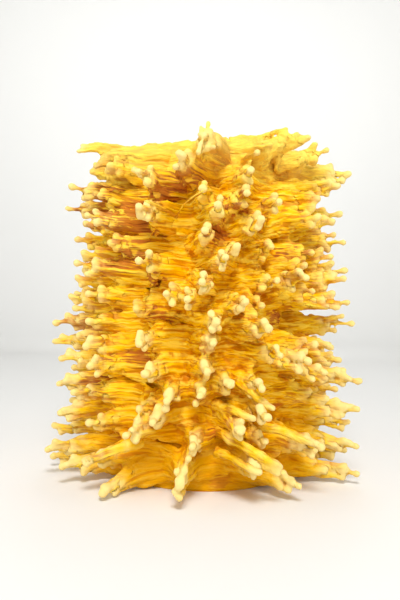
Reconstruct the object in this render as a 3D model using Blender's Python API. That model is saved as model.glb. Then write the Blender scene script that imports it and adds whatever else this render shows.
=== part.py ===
"""A tree cake: batter poured in thin layers over a turning spit, so that it grows a hollow wall set with long spikes.

The cake stands on the cut foot of its wall. +Z is up, the axis of the spit is the Z axis, and -Y is the front.
Lengths are in millimetres, and are turned into metres where the meshes are made. Azimuths are in degrees: 0 is
the front and 90 is +X.
"""

import math
import random

import bmesh
import bpy
from mathutils import Vector

MM = 0.001

# The wall that grows on the spit.
WALL_HEIGHT = 247.0
WALL_RADIUS_FOOT = 65.0
WALL_RADIUS_RIM = 58.0
HOLE_RADIUS_FOOT = 39.0
HOLE_RADIUS_RIM = 36.0
RIM_SLANT = 3.0  # the cut rim is this much higher at +X than over the axis, and as much lower at -X
RIM_WAVE = 1.6
WALL_SIDES = 32
WALL_LEVELS = 4

# The spikes that make the outline on either side, as (height, reach from the axis) of their tips, foot to rim.
OUTLINE_AZIMUTH = 77.0
OUTLINE_STAGGER = 7.0
LEFT_OUTLINE = (
    (20, 121), (31, 117), (46, 113), (61, 105), (68, 114), (77, 103), (86, 113), (96, 118), (103, 101),
    (111, 118), (123, 104), (132, 107), (146, 103), (155, 96), (164, 99), (176, 103), (186, 98), (200, 111),
    (212, 109), (229, 93),
)
RIGHT_OUTLINE = (
    (8, 124), (18, 115), (28, 123), (40, 117), (55, 123), (65, 107), (76, 124), (88, 109), (99, 103),
    (117, 118), (132, 114), (141, 96), (150, 111), (157, 112), (166, 101), (179, 110), (192, 102), (201, 107),
    (218, 105), (233, 113), (245, 96),
)
# The spikes that stand out at the front, as (height, azimuth, reach) of their tips, foot to rim.
FRONT_SPIKES = (
    (4, -35, 113), (16, -7, 112), (39, -3, 106), (71, -1, 104), (87, 1, 106), (105, 3, 106), (118, 4, 108),
    (132, -6, 110), (142, -1, 114), (158, 6, 110), (176, -1, 106), (192, 4, 104), (236, -2, 102),
    (13, -58, 116), (21, -43, 113), (46, -25, 116), (54, -17, 110), (68, -12, 108), (84, -21, 106),
    (103, -24, 106), (135, -14, 104), (156, -24, 108), (190, -24, 110), (213, -26, 106), (223, -10, 104),
    (11, 37, 110), (24, 20, 110), (36, 45, 116), (50, 13, 112), (59, 22, 113), (78, 10, 104), (93, 39, 112),
    (131, 14, 108), (148, 37, 112), (166, 11, 102), (184, 19, 108), (201, 14, 104), (216, 16, 102),
    (240, 31, 94),
)

# The spikes that fill the rest, on a lattice of ranks and rows shaken at random.
RANKS = 14
ROWS = 14
ROW_SHAKE = 4.0
RANK_SHAKE = 6.0
FILL_REACH = (94.0, 113.0)
FILL_LOWEST = 7.0
FRONT_TURN = 75.0  # nearer the front than this, the lattice keeps to the heights below
FRONT_FILL = (22.0, 226.0)
LEAST_GAP = 12.5  # no spike of the lattice has its tip nearer than this to another
GAP_RADIUS = 80.0
SEED = 1529

# What every spike is like. Its girth is that of its root, before the shares below.
RISE_AT_FOOT = -4.0  # degrees above the level
RISE_AT_RIM = 7.0
RISE_SHAKE = 4.0
ROOT_DRIFT = 5.0  # degrees round the wall between a spike's root and its tip
ROOT_HALF_WIDTH = (13.0, 18.0)
ROOT_HALF_HEIGHT = (8.0, 10.5)
ROOT_DEPTH = 6.0  # how far a root runs into the wall
CLEAR_OF_RIM = 2.0
CLEAR_OF_TABLE = 2.5
TRUNK_RINGS = ((0.30, 0.50, 0.84), (0.86, 0.17, 0.36))  # shares of the length, half width and half height

# The fingers that a spike splits into.
FINGER_ENDS = (0.94, 0.74)
FINGER_SPREAD = (3.5, 7.0)
FINGER_LEAN = 0.6
BRANCH_START = 0.42
BRANCH_RADII = (2.6, 1.9)

# The two broad webs that grow out of the rim: their tips, their roots and their half sizes.
RIM_WEBS = (
    {
        "height": 255.0, "azimuth": 46.0, "reach": 90.0, "root": 238.0, "drift": -3.0,
        "half_width": 20.0, "half_height": 9.0, "fingers": [(1.0, 0.0, 0.0), (0.9, -9.0, -3.0)],
    },
    {
        "height": 236.0, "azimuth": -62.0, "reach": 105.0, "root": 234.0, "drift": 20.0,
        "half_width": 22.0, "half_height": 9.5, "fingers": [(1.0, 0.0, 0.0), (0.92, 3.0, -9.0)],
    },
)


def between(low, high, share):
    return low + (high - low) * share


def wall_radius(height):
    return between(WALL_RADIUS_FOOT, WALL_RADIUS_RIM, height / WALL_HEIGHT)


def rim_height(azimuth):
    turn = math.radians(azimuth)
    return WALL_HEIGHT + RIM_SLANT * math.sin(turn) + RIM_WAVE * math.sin(5 * turn + 1.0)


def seen_tips():
    """(height, azimuth, reach) of every spike whose place is known."""
    tips = list(FRONT_SPIKES)
    for side, outline in ((-1, LEFT_OUTLINE), (1, RIGHT_OUTLINE)):
        for number, (height, reach) in enumerate(outline):
            stagger = OUTLINE_STAGGER if number % 2 else -OUTLINE_STAGGER
            tips.append((height, side * (OUTLINE_AZIMUTH + stagger), reach))
    return tips


def gap(one, other):
    """The distance between two tips, measured round a cylinder of GAP_RADIUS."""
    turn = math.remainder(one[1] - other[1], 360.0)
    return math.hypot(math.radians(turn) * GAP_RADIUS, one[0] - other[0])


def all_tips(rng):
    """The known tips, and those of the lattice that fit between them."""
    tips = seen_tips()
    pitch = WALL_HEIGHT / ROWS
    for rank in range(RANKS):
        for row in range(ROWS):
            stagger = 0.3 if rank % 2 else 0.7
            height = (row + stagger) * pitch + rng.uniform(-ROW_SHAKE, ROW_SHAKE)
            azimuth = rank * 360.0 / RANKS + rng.uniform(-RANK_SHAKE, RANK_SHAKE)
            taper = between(1.04, 0.97, height / WALL_HEIGHT)
            tip = (max(height, FILL_LOWEST), azimuth, rng.uniform(*FILL_REACH) * taper)
            turned_away = abs(math.remainder(azimuth, 360.0)) > FRONT_TURN
            wanted = turned_away or FRONT_FILL[0] < height < FRONT_FILL[1]
            if wanted and all(gap(tip, other) >= LEAST_GAP for other in tips):
                tips.append(tip)
    return tips


def draw_fingers(rng):
    """The fingers of a spike, as (end, side, up). The first one is its tip.

    end is the share of the spike's length where a finger ends. side and up are how far it stands off the
    spike's own line there.
    """
    fingers = [(1.0, 0.0, 0.0)]
    way = rng.choice((-1, 1))
    for number in range(rng.choice((2, 3, 3, 4))):
        end = rng.uniform(*FINGER_ENDS) - 0.06 * number
        spread = rng.uniform(*FINGER_SPREAD)
        lean = rng.uniform(-FINGER_LEAN, FINGER_LEAN)
        fingers.append((end, spread * math.sin(lean), way * spread * math.cos(lean)))
        way = -way
    return fingers


def plan_spikes():
    """Every spike as a dict: the height, azimuth and reach of its tip, its root, its girth and its fingers."""
    rng = random.Random(SEED)
    spikes = []
    for height, azimuth, reach in all_tips(rng):
        rise = between(RISE_AT_FOOT, RISE_AT_RIM, height / WALL_HEIGHT) + rng.uniform(-RISE_SHAKE, RISE_SHAKE)
        half_height = rng.uniform(*ROOT_HALF_HEIGHT)
        root = height - math.tan(math.radians(rise)) * (reach - wall_radius(height))
        lowest, highest = CLEAR_OF_TABLE + half_height, WALL_HEIGHT - half_height - CLEAR_OF_RIM
        spikes.append({
            "height": height, "azimuth": azimuth, "reach": reach,
            "root": min(max(root, lowest), highest), "drift": rng.uniform(-ROOT_DRIFT, ROOT_DRIFT),
            "half_width": rng.uniform(*ROOT_HALF_WIDTH), "half_height": half_height,
            "fingers": draw_fingers(rng),
        })
    return [*RIM_WEBS, *spikes]


def point_at(spike, share, side=0.0, up=0.0):
    """The point at this share of a spike's length, moved to its side and up, in metres."""
    radius = between(wall_radius(spike["root"]), spike["reach"], share)
    turn = math.radians(spike["azimuth"] + spike["drift"] * (1.0 - share) ** 2)
    height = between(spike["root"], spike["height"], max(share, 0.0)) + up
    return Vector((
        math.sin(turn) * radius + math.cos(turn) * side,
        -math.cos(turn) * radius + math.sin(turn) * side,
        max(height, CLEAR_OF_TABLE),
    )) * MM


def lofted(name, rings, tip):
    """One closed solid through the rings, with its first ring flat and its last drawn to the tip."""
    bm = bmesh.new()
    rows = [[bm.verts.new(point) for point in ring] for ring in rings]
    count = len(rows[0])
    bm.faces.new(reversed(rows[0]))
    for lower, upper in zip(rows, rows[1:]):
        for i in range(count):
            j = (i + 1) % count
            bm.faces.new((lower[i], lower[j], upper[j], upper[i]))
    end = bm.verts.new(tip)
    for i in range(count):
        bm.faces.new((rows[-1][i], rows[-1][(i + 1) % count], end))
    return object_of(name, bm)


def object_of(name, bm):
    bmesh.ops.recalc_face_normals(bm, faces=bm.faces)
    mesh = bpy.data.meshes.new(name)
    bm.to_mesh(mesh)
    bm.free()
    return bpy.data.objects.new(name, mesh)


def trunk(spike, number):
    """The spike itself: wide and flat where it grows out of the wall, narrowing to its tip."""
    inside = -ROOT_DEPTH / (spike["reach"] - wall_radius(spike["root"]))
    rings = []
    for share, width_share, height_share in ((inside, 1.0, 1.0), *TRUNK_RINGS):
        a, b = spike["half_width"] * width_share, spike["half_height"] * height_share
        rings.append([point_at(spike, share, side, up) for side, up in ((a, 0), (0, b), (-a, 0), (0, -b))])
    return lofted(f"trunk_{number}", rings, point_at(spike, 1.0))


def branch(spike, number):
    """The spike's second finger, which leaves the trunk about half way out."""
    end, side, up = spike["fingers"][1]
    rings = []
    for share, radius in zip((BRANCH_START, end * 0.9), BRANCH_RADII):
        part = (share - BRANCH_START) / (end - BRANCH_START)
        corners = [math.radians(90 + 120 * corner) for corner in range(3)]
        rings.append([
            point_at(spike, share, side * part + radius * math.cos(c), up * part + radius * math.sin(c))
            for c in corners
        ])
    return lofted(f"branch_{number}", rings, point_at(spike, end, side, up))


def wall():
    """The hollow wall, with the hole that the spit left and an uneven cut rim."""
    bm = bmesh.new()
    columns = []
    for number in range(WALL_SIDES):
        azimuth = 360.0 * number / WALL_SIDES
        turn = math.radians(azimuth)
        top = rim_height(azimuth)
        outside = [top * level / WALL_LEVELS for level in range(WALL_LEVELS + 1)]
        outline = [(wall_radius(height), height) for height in outside]
        outline += [(HOLE_RADIUS_RIM, top), (HOLE_RADIUS_FOOT, 0.0)]
        columns.append([
            bm.verts.new(Vector((math.sin(turn) * radius, -math.cos(turn) * radius, height)) * MM)
            for radius, height in outline
        ])
    count = len(columns[0])
    for column, following in zip(columns, columns[1:] + columns[:1]):
        for i in range(count):
            j = (i + 1) % count
            bm.faces.new((column[i], following[i], following[j], column[j]))
    return object_of("cake", bm)


def crust():
    """The finish of the baked batter."""
    material = bpy.data.materials.new("golden_crust")
    material.use_nodes = True
    shader = material.node_tree.nodes["Principled BSDF"]
    shader.inputs["Base Color"].default_value = (0.86, 0.50, 0.10, 1.0)
    shader.inputs["Roughness"].default_value = 0.5
    shader.inputs["Metallic"].default_value = 0.0
    return material


def volume_of(faces):
    return sum(
        face.verts[0].co.dot(face.verts[i].co.cross(face.verts[i + 1].co)) / 6.0
        for face in faces
        for i in range(1, len(face.verts) - 1)
    )


def shells_of(bm):
    """The faces of a mesh, grouped into the shells that they are joined in."""
    left = set(bm.faces)
    shells = []
    while left:
        shell, waiting = [], [left.pop()]
        while waiting:
            face = waiting.pop()
            shell.append(face)
            for edge in face.edges:
                joined = left.intersection(edge.link_faces)
                left -= joined
                waiting.extend(joined)
        shells.append(shell)
    return shells


def keep_main_body(mesh):
    """Fills the hollows that joining has sealed and drops loose scraps: only the largest shell stays."""
    bm = bmesh.new()
    bm.from_mesh(mesh)
    shells = sorted(shells_of(bm), key=volume_of, reverse=True)
    bmesh.ops.delete(bm, geom=[face for shell in shells[1:] for face in shell], context="FACES")
    bm.to_mesh(mesh)
    bm.free()


def join_for_good(body, pieces):
    """Joins the pieces to the body with one Boolean union on their collection, which is then removed."""
    batter = bpy.data.collections.new("batter")
    bpy.context.scene.collection.children.link(batter)
    for piece in pieces:
        batter.objects.link(piece)
    join = body.modifiers.new("join", "BOOLEAN")
    join.operation = "UNION"
    join.operand_type = "COLLECTION"
    join.collection = batter
    join.solver = "MANIFOLD"
    mesh = bpy.data.meshes.new_from_object(body.evaluated_get(bpy.context.evaluated_depsgraph_get()))
    body.modifiers.clear()
    body.data = mesh
    for piece in pieces:
        bpy.data.objects.remove(piece)
    bpy.data.collections.remove(batter)
    keep_main_body(mesh)


def main():
    for old in list(bpy.data.objects):
        bpy.data.objects.remove(old)
    spikes = plan_spikes()
    known = len(RIM_WEBS) + len(seen_tips())
    cake = wall()
    bpy.context.scene.collection.objects.link(cake)
    trunks = [trunk(spike, number) for number, spike in enumerate(spikes)]
    branches = [branch(spike, number) for number, spike in enumerate(spikes[:known])]
    join_for_good(cake, trunks + branches)
    cake.data.materials.clear()
    cake.data.materials.append(crust())


main()
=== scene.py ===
"""The looks of the tree cake: strands of golden batter, baked together into long knobbed spikes on a wall.

Lengths are in millimetres until a mesh is made, azimuths in degrees: 0 is the front, -Y, and 90 is +X.
"""

import math
import random

import bpy
import numpy as np
from mathutils import Matrix, Vector
from mathutils.bvhtree import BVHTree


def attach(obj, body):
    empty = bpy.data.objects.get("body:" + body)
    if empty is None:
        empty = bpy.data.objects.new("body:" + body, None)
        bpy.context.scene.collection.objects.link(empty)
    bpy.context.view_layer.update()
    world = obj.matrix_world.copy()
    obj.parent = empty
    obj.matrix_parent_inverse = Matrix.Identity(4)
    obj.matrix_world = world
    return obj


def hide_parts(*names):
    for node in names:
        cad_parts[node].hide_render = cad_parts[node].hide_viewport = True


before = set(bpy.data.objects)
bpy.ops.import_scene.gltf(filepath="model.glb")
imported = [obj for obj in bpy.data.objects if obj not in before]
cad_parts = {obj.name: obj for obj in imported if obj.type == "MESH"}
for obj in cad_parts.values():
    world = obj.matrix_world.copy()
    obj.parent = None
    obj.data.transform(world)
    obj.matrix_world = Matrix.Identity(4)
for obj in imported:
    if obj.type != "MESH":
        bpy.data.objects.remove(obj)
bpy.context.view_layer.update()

MM = 0.001

# ---------------------------------------------------------------- the plan of the spikes, as in the solids

WALL_HEIGHT = 247.0
WALL_RADIUS_FOOT = 65.0
WALL_RADIUS_RIM = 58.0
HOLE_RADIUS_FOOT = 39.0
HOLE_RADIUS_RIM = 36.0
RIM_SLANT = 3.0
RIM_WAVE = 1.6

OUTLINE_AZIMUTH = 77.0
OUTLINE_STAGGER = 7.0
LEFT_OUTLINE = (
    (20, 121), (31, 117), (46, 113), (61, 105), (68, 114), (77, 103), (86, 113), (96, 118), (103, 101),
    (111, 118), (123, 104), (132, 107), (146, 103), (155, 96), (164, 99), (176, 103), (186, 98), (200, 111),
    (212, 109), (229, 93),
)
RIGHT_OUTLINE = (
    (8, 124), (18, 115), (28, 123), (40, 117), (55, 123), (65, 107), (76, 124), (88, 109), (99, 103),
    (117, 118), (132, 114), (141, 96), (150, 111), (157, 112), (166, 101), (179, 110), (192, 102), (201, 107),
    (218, 105), (233, 113), (245, 96),
)
FRONT_SPIKES = (
    (4, -35, 113), (16, -7, 112), (39, -3, 106), (71, -1, 104), (87, 1, 106), (105, 3, 106), (118, 4, 108),
    (132, -6, 110), (142, -1, 114), (158, 6, 110), (176, -1, 106), (192, 4, 104), (236, -2, 102),
    (13, -58, 116), (21, -43, 113), (46, -25, 116), (54, -17, 110), (68, -12, 108), (84, -21, 106),
    (103, -24, 106), (135, -14, 104), (156, -24, 108), (190, -24, 110), (213, -26, 106), (223, -10, 104),
    (11, 37, 110), (24, 20, 110), (36, 45, 116), (50, 13, 112), (59, 22, 113), (78, 10, 104), (93, 39, 112),
    (131, 14, 108), (148, 37, 112), (166, 11, 102), (184, 19, 108), (201, 14, 104), (216, 16, 102),
    (240, 31, 94),
)

RANKS = 14
ROWS = 14
ROW_SHAKE = 4.0
RANK_SHAKE = 6.0
FILL_REACH = (94.0, 113.0)
FILL_LOWEST = 7.0
FRONT_TURN = 75.0
FRONT_FILL = (22.0, 226.0)
LEAST_GAP = 12.5
GAP_RADIUS = 80.0
SEED = 1529

RISE_AT_FOOT = -4.0
RISE_AT_RIM = 7.0
RISE_SHAKE = 4.0
ROOT_DRIFT = 5.0
ROOT_HALF_WIDTH = (13.0, 18.0)
ROOT_HALF_HEIGHT = (8.0, 10.5)
ROOT_DEPTH = 6.0
CLEAR_OF_RIM = 2.0
CLEAR_OF_TABLE = 2.5

FINGER_ENDS = (0.94, 0.74)
FINGER_SPREAD = (3.5, 7.0)
FINGER_LEAN = 0.6

RIM_WEBS = (
    {
        "height": 255.0, "azimuth": 46.0, "reach": 90.0, "root": 238.0, "drift": -3.0,
        "half_width": 20.0, "half_height": 9.0, "fingers": [(1.0, 0.0, 0.0), (0.9, -9.0, -3.0)],
    },
    {
        "height": 236.0, "azimuth": -62.0, "reach": 105.0, "root": 234.0, "drift": 20.0,
        "half_width": 22.0, "half_height": 9.5, "fingers": [(1.0, 0.0, 0.0), (0.92, 3.0, -9.0)],
    },
)


def between(low, high, share):
    return low + (high - low) * share


def wall_radius(height):
    return between(WALL_RADIUS_FOOT, WALL_RADIUS_RIM, height / WALL_HEIGHT)


def rim_height(turn):
    """The height of the cut rim at this angle in radians."""
    return WALL_HEIGHT + RIM_SLANT * np.sin(turn) + RIM_WAVE * np.sin(5 * turn + 1.0)


def seen_tips():
    """(height, azimuth, reach) of every spike whose place is known."""
    tips = list(FRONT_SPIKES)
    for side, outline in ((-1, LEFT_OUTLINE), (1, RIGHT_OUTLINE)):
        for number, (height, reach) in enumerate(outline):
            stagger = OUTLINE_STAGGER if number % 2 else -OUTLINE_STAGGER
            tips.append((height, side * (OUTLINE_AZIMUTH + stagger), reach))
    return tips


def gap(one, other):
    """The distance between two tips, measured round a cylinder of GAP_RADIUS."""
    turn = math.remainder(one[1] - other[1], 360.0)
    return math.hypot(math.radians(turn) * GAP_RADIUS, one[0] - other[0])


def all_tips(rng):
    """The known tips, and those of the lattice that fit between them."""
    tips = seen_tips()
    pitch = WALL_HEIGHT / ROWS
    for rank in range(RANKS):
        for row in range(ROWS):
            stagger = 0.3 if rank % 2 else 0.7
            height = (row + stagger) * pitch + rng.uniform(-ROW_SHAKE, ROW_SHAKE)
            azimuth = rank * 360.0 / RANKS + rng.uniform(-RANK_SHAKE, RANK_SHAKE)
            taper = between(1.04, 0.97, height / WALL_HEIGHT)
            tip = (max(height, FILL_LOWEST), azimuth, rng.uniform(*FILL_REACH) * taper)
            turned_away = abs(math.remainder(azimuth, 360.0)) > FRONT_TURN
            wanted = turned_away or FRONT_FILL[0] < height < FRONT_FILL[1]
            if wanted and all(gap(tip, other) >= LEAST_GAP for other in tips):
                tips.append(tip)
    return tips


def draw_fingers(rng):
    """The fingers of a spike, as (end, side, up). The first one is its tip."""
    fingers = [(1.0, 0.0, 0.0)]
    way = rng.choice((-1, 1))
    for number in range(rng.choice((2, 3, 3, 4))):
        end = rng.uniform(*FINGER_ENDS) - 0.06 * number
        spread = rng.uniform(*FINGER_SPREAD)
        lean = rng.uniform(-FINGER_LEAN, FINGER_LEAN)
        fingers.append((end, spread * math.sin(lean), way * spread * math.cos(lean)))
        way = -way
    return fingers


def plan_spikes():
    """Every spike as a dict: the height, azimuth and reach of its tip, its root, girth and fingers."""
    rng = random.Random(SEED)
    spikes = []
    for height, azimuth, reach in all_tips(rng):
        rise = between(RISE_AT_FOOT, RISE_AT_RIM, height / WALL_HEIGHT) + rng.uniform(-RISE_SHAKE, RISE_SHAKE)
        half_height = rng.uniform(*ROOT_HALF_HEIGHT)
        root = height - math.tan(math.radians(rise)) * (reach - wall_radius(height))
        lowest, highest = CLEAR_OF_TABLE + half_height, WALL_HEIGHT - half_height - CLEAR_OF_RIM
        spikes.append({
            "height": height, "azimuth": azimuth, "reach": reach,
            "root": min(max(root, lowest), highest), "drift": rng.uniform(-ROOT_DRIFT, ROOT_DRIFT),
            "half_width": rng.uniform(*ROOT_HALF_WIDTH), "half_height": half_height,
            "fingers": draw_fingers(rng),
        })
    return [*RIM_WEBS, *spikes]


# ---------------------------------------------------------------- strands of batter

STRAND_SEED = 20
STRAND_STEP = 3.2  # between the points of a strand
KNOB_STEPS = (0.06, 0.35, 0.75, 1.1, 1.5, 1.9, 2.4)  # distances from a strand's end, in radii of its knob
NECK_LENGTH = 1.6  # how far behind its end a strand is narrowed, in radii of its knob
GIRTH_DECAY = 0.4  # the share of a spike's length over which its strands lose the girth of their roots
TABLE_GAP = 0.6  # between the lowest strands and the table

# How a strand wavers sideways, and up and down: how high each wave is, and its length over 2 pi.
SIDE_WAVES = ((0.6, 4.3), (0.35, 2.3))
HEIGHT_WAVES = ((0.6, 4.9), (0.35, 2.6))
ROUTE_WAVES = ((0.4, 4.1),)
WOBBLE = 0.7

# The beads along a strand: how far apart, how far out of line, how thick, how long and how pale they are.
# Their paleness is partly cream batter and partly a painted highlight on the swelling.
BEAD_GAP, BEAD_SHIFT = 9.0, 3.0
BEAD_SWELL, BEAD_LENGTH, BEAD_CREAM_AND_HIGHLIGHT = (0.1, 0.6), 1.9, 1.3

# What one spike is bundled from. Girths, knobs and how far a nodule stands proud are in millimetres, ends
# are shares of the spike's length, necks are shares of the knob's radius, and creams are in radii of the
# knob. The known spikes low in front have crests, and those of the lattice are plain, with fewer fingers.
CORE_PLACES = ((0.0, 0.0, 1.0), (0.5, 0.0, 0.75), (-0.5, 0.0, 0.75), (0.0, 0.42, 0.9), (0.0, -0.42, 0.9))
CORE_ENDS = (0.52, 0.72)
CORE_ROOT, CORE_GIRTH, CORE_KNOB, CORE_WOBBLE = 0.46, 1.6, 2.0, 0.3
PLAIN_FINGERS = 3
FINGER_ROOT, FINGER_NECKS, FINGER_KNOBS = 2.8, (0.46, 0.6), (2.6, 3.5)
FLANK_PLACES = (
    (1, -0.7), (1, -0.25), (1, 0.25), (1, 0.7),
    (-1, -0.7), (-1, -0.25), (-1, 0.25), (-1, 0.7),
    (0, 1.0), (0, -1.0),
)
SHORT_ENDS, LONG_ENDS = (0.32, 0.6), (0.45, 0.78)
FLANK_ROOTS, FLANK_NECKS, FLANK_KNOBS = (2.0, 2.7), (0.66, 0.8), (1.9, 2.6)
CRESTED_BELOW = 110.0
CREST_ENDS, CREST_GIRTH, CREST_KNOBS = (0.82, 0.97), (2.9, 1.8), (2.5, 3.2)
CREST_WOBBLE, CREST_TOAST, CREST_CREAM = 1.2, 0.5, 9.0
NODULES = 5
NODULE_ENDS, NODULE_GIRTH, NODULE_KNOBS = (0.25, 0.75), (1.7, 1.5), (1.5, 2.5)
NODULE_PROUD, NODULE_WOBBLE, NODULE_CREAMS = (0.5, 2.0), 0.6, (3.0, 8.0)

# Strands listed one by one: azimuth, reach and height of the points along each, its radius and that of its
# knob.
ROUTE_THICKENING = 60.0  # how far from its end a listed strand is twice as thick
ROUTE_TOAST = (0.6, 1.0)
RIGHT_WEB_STRANDS = (
    (((48, 50, 242), (47, 58, 250.0), (46.5, 62, 253.2), (46, 67, 254.2), (46, 73, 254.3), (46, 78, 253.8)),
     1.5, 1.7),
    (((14, 57, 245.0), (29, 57, 247.6), (37, 58, 249.8), (43, 60, 252.4), (46, 64, 253.9)), 1.5, 1.5),
    (((16, 56, 242.5), (28, 56, 244.8), (36, 57, 246.8), (41, 58, 249.2), (44, 60, 251.0)), 2.2, 1.8),
    (((24, 54, 242.0), (34, 55, 244.0), (42, 56, 246.0)), 2.6, 2.2),
    (((48, 50, 238), (47, 66, 245.0), (46, 72, 250.0), (46, 79, 250.4)), 1.8, 2.0),
    (((46, 50, 238), (46, 64, 244.0), (46, 77, 247.0)), 2.3, 2.4),
    (((52, 50, 236), (51, 68, 241.5), (50, 82, 245.0), (50, 93, 246.8)), 2.4, 2.8),
    (((50, 60, 238), (50, 76, 243.0), (50, 86, 243.6)), 2.2, 2.2),
    (((48, 60, 240), (48, 75, 246.5), (49, 81, 250.0), (49, 84, 252.2)), 1.6, 2.1),
)
LEFT_WEB_STRANDS = (
    (((-67, 50, 240), (-63, 70, 243.2), (-62, 90, 242.4), (-62, 99, 241.2), (-62, 104, 240.3)), 1.3, 1.9),
    (((-67, 50, 236), (-63, 75, 238.5), (-62, 95, 237.3), (-62, 107, 235.2)), 1.3, 1.8),
    (((-66, 50, 231), (-62, 75, 233.0), (-61, 90, 233.0)), 2.2, 2.0),
    (((-64, 50, 228), (-61, 75, 229.6), (-60, 90, 227.4), (-60, 95, 223.6)), 1.8, 2.3),
    (((-62, 50, 229), (-60, 80, 230.4), (-60, 92, 229.6)), 1.5, 1.6),
)
LEFT_RIM_KNOBS = (
    (((-48, 58, 221), (-51, 78, 221.5), (-52, 92, 219.7)), 2.0, 3.2),
    (((-30, 60, 219), (-30, 85, 217.0), (-30, 100, 215.0)), 1.9, 2.8),
    (((-26, 60, 214), (-27, 85, 213.0), (-27, 100, 211.7)), 1.9, 2.8),
)
MIDDLE_CLUSTER = (
    (((0, 62, 241), (-1, 78, 244.8), (-0.5, 89, 247.2)), 1.4, 2.3),
    (((-2, 60, 237), (-3, 84, 241.0), (-3.5, 95, 242.3)), 1.3, 2.1),
    (((-3, 60, 233), (-3.5, 88, 236.3), (-3.5, 99, 237.0)), 1.3, 2.3),
    (((-3, 60, 228), (-3.5, 90, 230.2), (-3, 103, 229.8)), 1.4, 2.5),
    (((-3, 60, 223), (-4, 90, 225.0), (-3.8, 104, 224.2)), 1.3, 2.3),
    (((2, 60, 232), (2, 84, 230.5), (1.9, 98, 229.3)), 1.2, 2.0),
    (((6, 58, 237), (3, 74, 239.0), (0, 90, 239.0)), 2.4, 2.0),
    (((6, 58, 232), (3, 76, 234.0), (0, 94, 234.5)), 2.4, 2.0),
    (((12, 58, 236), (7, 74, 238.5), (2, 85, 240.5)), 1.9, 1.9),
    (((13, 58, 232), (8, 72, 235.0), (3, 88, 238.0)), 1.8, 1.8),
    (((14, 58, 228), (9, 72, 231.0), (3.5, 90, 233.5)), 1.8, 1.8),
)
UPPER_KNOBS = (
    (((-11, 60, 221), (-11, 90, 223.5), (-10.7, 105, 223.3)), 1.6, 2.8),
    (((-12, 60, 213), (-12, 90, 215.5), (-12, 104, 215.5)), 1.6, 2.6),
    (((22, 60, 229), (20, 85, 228.5), (19, 98, 227.5)), 1.6, 2.7),
)
RIM_STRANDS = RIGHT_WEB_STRANDS + LEFT_WEB_STRANDS + LEFT_RIM_KNOBS + MIDDLE_CLUSTER + UPPER_KNOBS
FOOT_STRANDS = (
    (((-4, 66, 38), (-4.5, 90, 34.0), (-4.5, 104, 31.5)), 1.9, 2.7),
    (((-6, 66, 32), (-6, 92, 27.0), (-5.5, 107, 24.0)), 2.0, 2.9),
    (((-7, 66, 16), (-7, 92, 10.0), (-6.8, 109, 8.0)), 1.9, 2.8),
    (((-2, 66, 44), (-1.5, 88, 42.5), (-1, 98, 42.0)), 1.6, 2.2),
    (((8, 66, 46), (12, 86, 42.3), (19, 98, 36.2), (25, 106, 29.7), (29, 109, 26.0)), 2.2, 2.6),
    (((17, 68, 36), (20, 90, 31.6), (24, 102, 26.9), (28, 109, 20.7)), 2.2, 2.6),
    (((6, 66, 63), (9.5, 84, 60.9), (13.5, 96, 60.4), (19, 106, 57.0)), 2.3, 2.8),
    (((7, 66, 58), (11, 86, 54.3), (12.5, 98, 49.4), (13.7, 106, 44.6)), 2.3, 2.7),
    (((16.5, 80, 78.1), (21, 98, 69.4), (26, 107, 62.9)), 2.1, 2.7),
    (((24.5, 80, 50.2), (34.8, 98, 45.1), (43.2, 110, 37.5)), 2.1, 2.5),
    (((6.3, 78, 31.8), (14.8, 96, 28.3), (19.4, 107, 23.2)), 2.1, 2.6),
    (((-27.9, 80, 35.7), (-35.1, 98, 30.8), (-45.2, 112, 21.9)), 2.1, 2.6),
)

# The tip whose fingers would hide the hole in the right web, so that only its core is made.
BARE_TIPS = ((240, 31),)

# Where the batter is toasted: height, azimuth, how far the patch runs up and round, and how deep it is.
TOASTED = (
    (236, 6, 9, 7, 1.0), (214, -12, 9, 8, 1.0), (205, -28, 7, 9, 0.8), (188, -42, 14, 14, 0.9),
    (229, -60, 6, 14, 1.0), (196, -70, 15, 12, 0.9), (164, -52, 12, 14, 0.7), (176, 5, 7, 7, 0.8),
    (195, 11, 7, 8, 0.7), (150, -32, 8, 9, 0.7), (110, -76, 8, 10, 0.9), (120, -26, 7, 8, 0.5),
    (92, -42, 9, 10, 0.5), (30, -50, 10, 12, 0.5), (70, -62, 10, 12, 0.5), (166, 56, 7, 9, 0.5),
    (120, 60, 8, 10, 0.4), (60, 48, 7, 8, 0.3), (135, 30, 6, 8, 0.3), (44, 4, 5, 4, 0.3), (6, 13, 7, 7, 0.36),
    (195, 150, 16, 18, 0.9), (90, 175, 14, 16, 0.7), (140, -130, 18, 18, 0.9), (45, 120, 12, 16, 0.6),
    (220, -165, 12, 18, 0.8), (70, -110, 14, 14, 0.6), (170, 100, 14, 14, 0.7),
)
TOAST_FULLNESS = 1.7
TOAST_DEPTHS = (0.35, 1.0)

# What fills the gaps: saddles between a spike and the one above it, and valleys to the one beside it.
SADDLE_RISES, SADDLE_TURNS = (5.0, 30.0), (-15.0, 15.0)
SADDLE_PITCH = 4.4
SADDLE_ENDS, SADDLE_SHIFTS = (0.36, 0.68), (3.0, 0.6)
SADDLE_ROOTS, SADDLE_NECKS, SADDLE_KNOBS, SADDLE_WOBBLE = (3.0, 4.0), (1.7, 2.3), (1.8, 2.5), 0.8
VALLEY_RISES, VALLEY_TURNS = (-12.0, 12.0), (14.0, 42.0)
VALLEY_HALF_HEIGHT = 10.5
VALLEY_PITCH, VALLEY_SHAKE = 3.3, 0.8
VALLEY_POINTS = 15
VALLEY_MARGINS = (0.05, 0.22)
VALLEY_FLANK, VALLEY_FLANK_CRESTED = 0.92, 0.62
VALLEY_FLOOR, VALLEY_DECAY, VALLEY_HOLLOWING = 0.02, 0.17, 0.3
VALLEY_GIRTHS, VALLEY_END_GIRTHS = (1.4, 2.3), (0.15, 1.15, 1.0)
VALLEY_TABLE_GAP = 0.5
TIERS = 7

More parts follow.
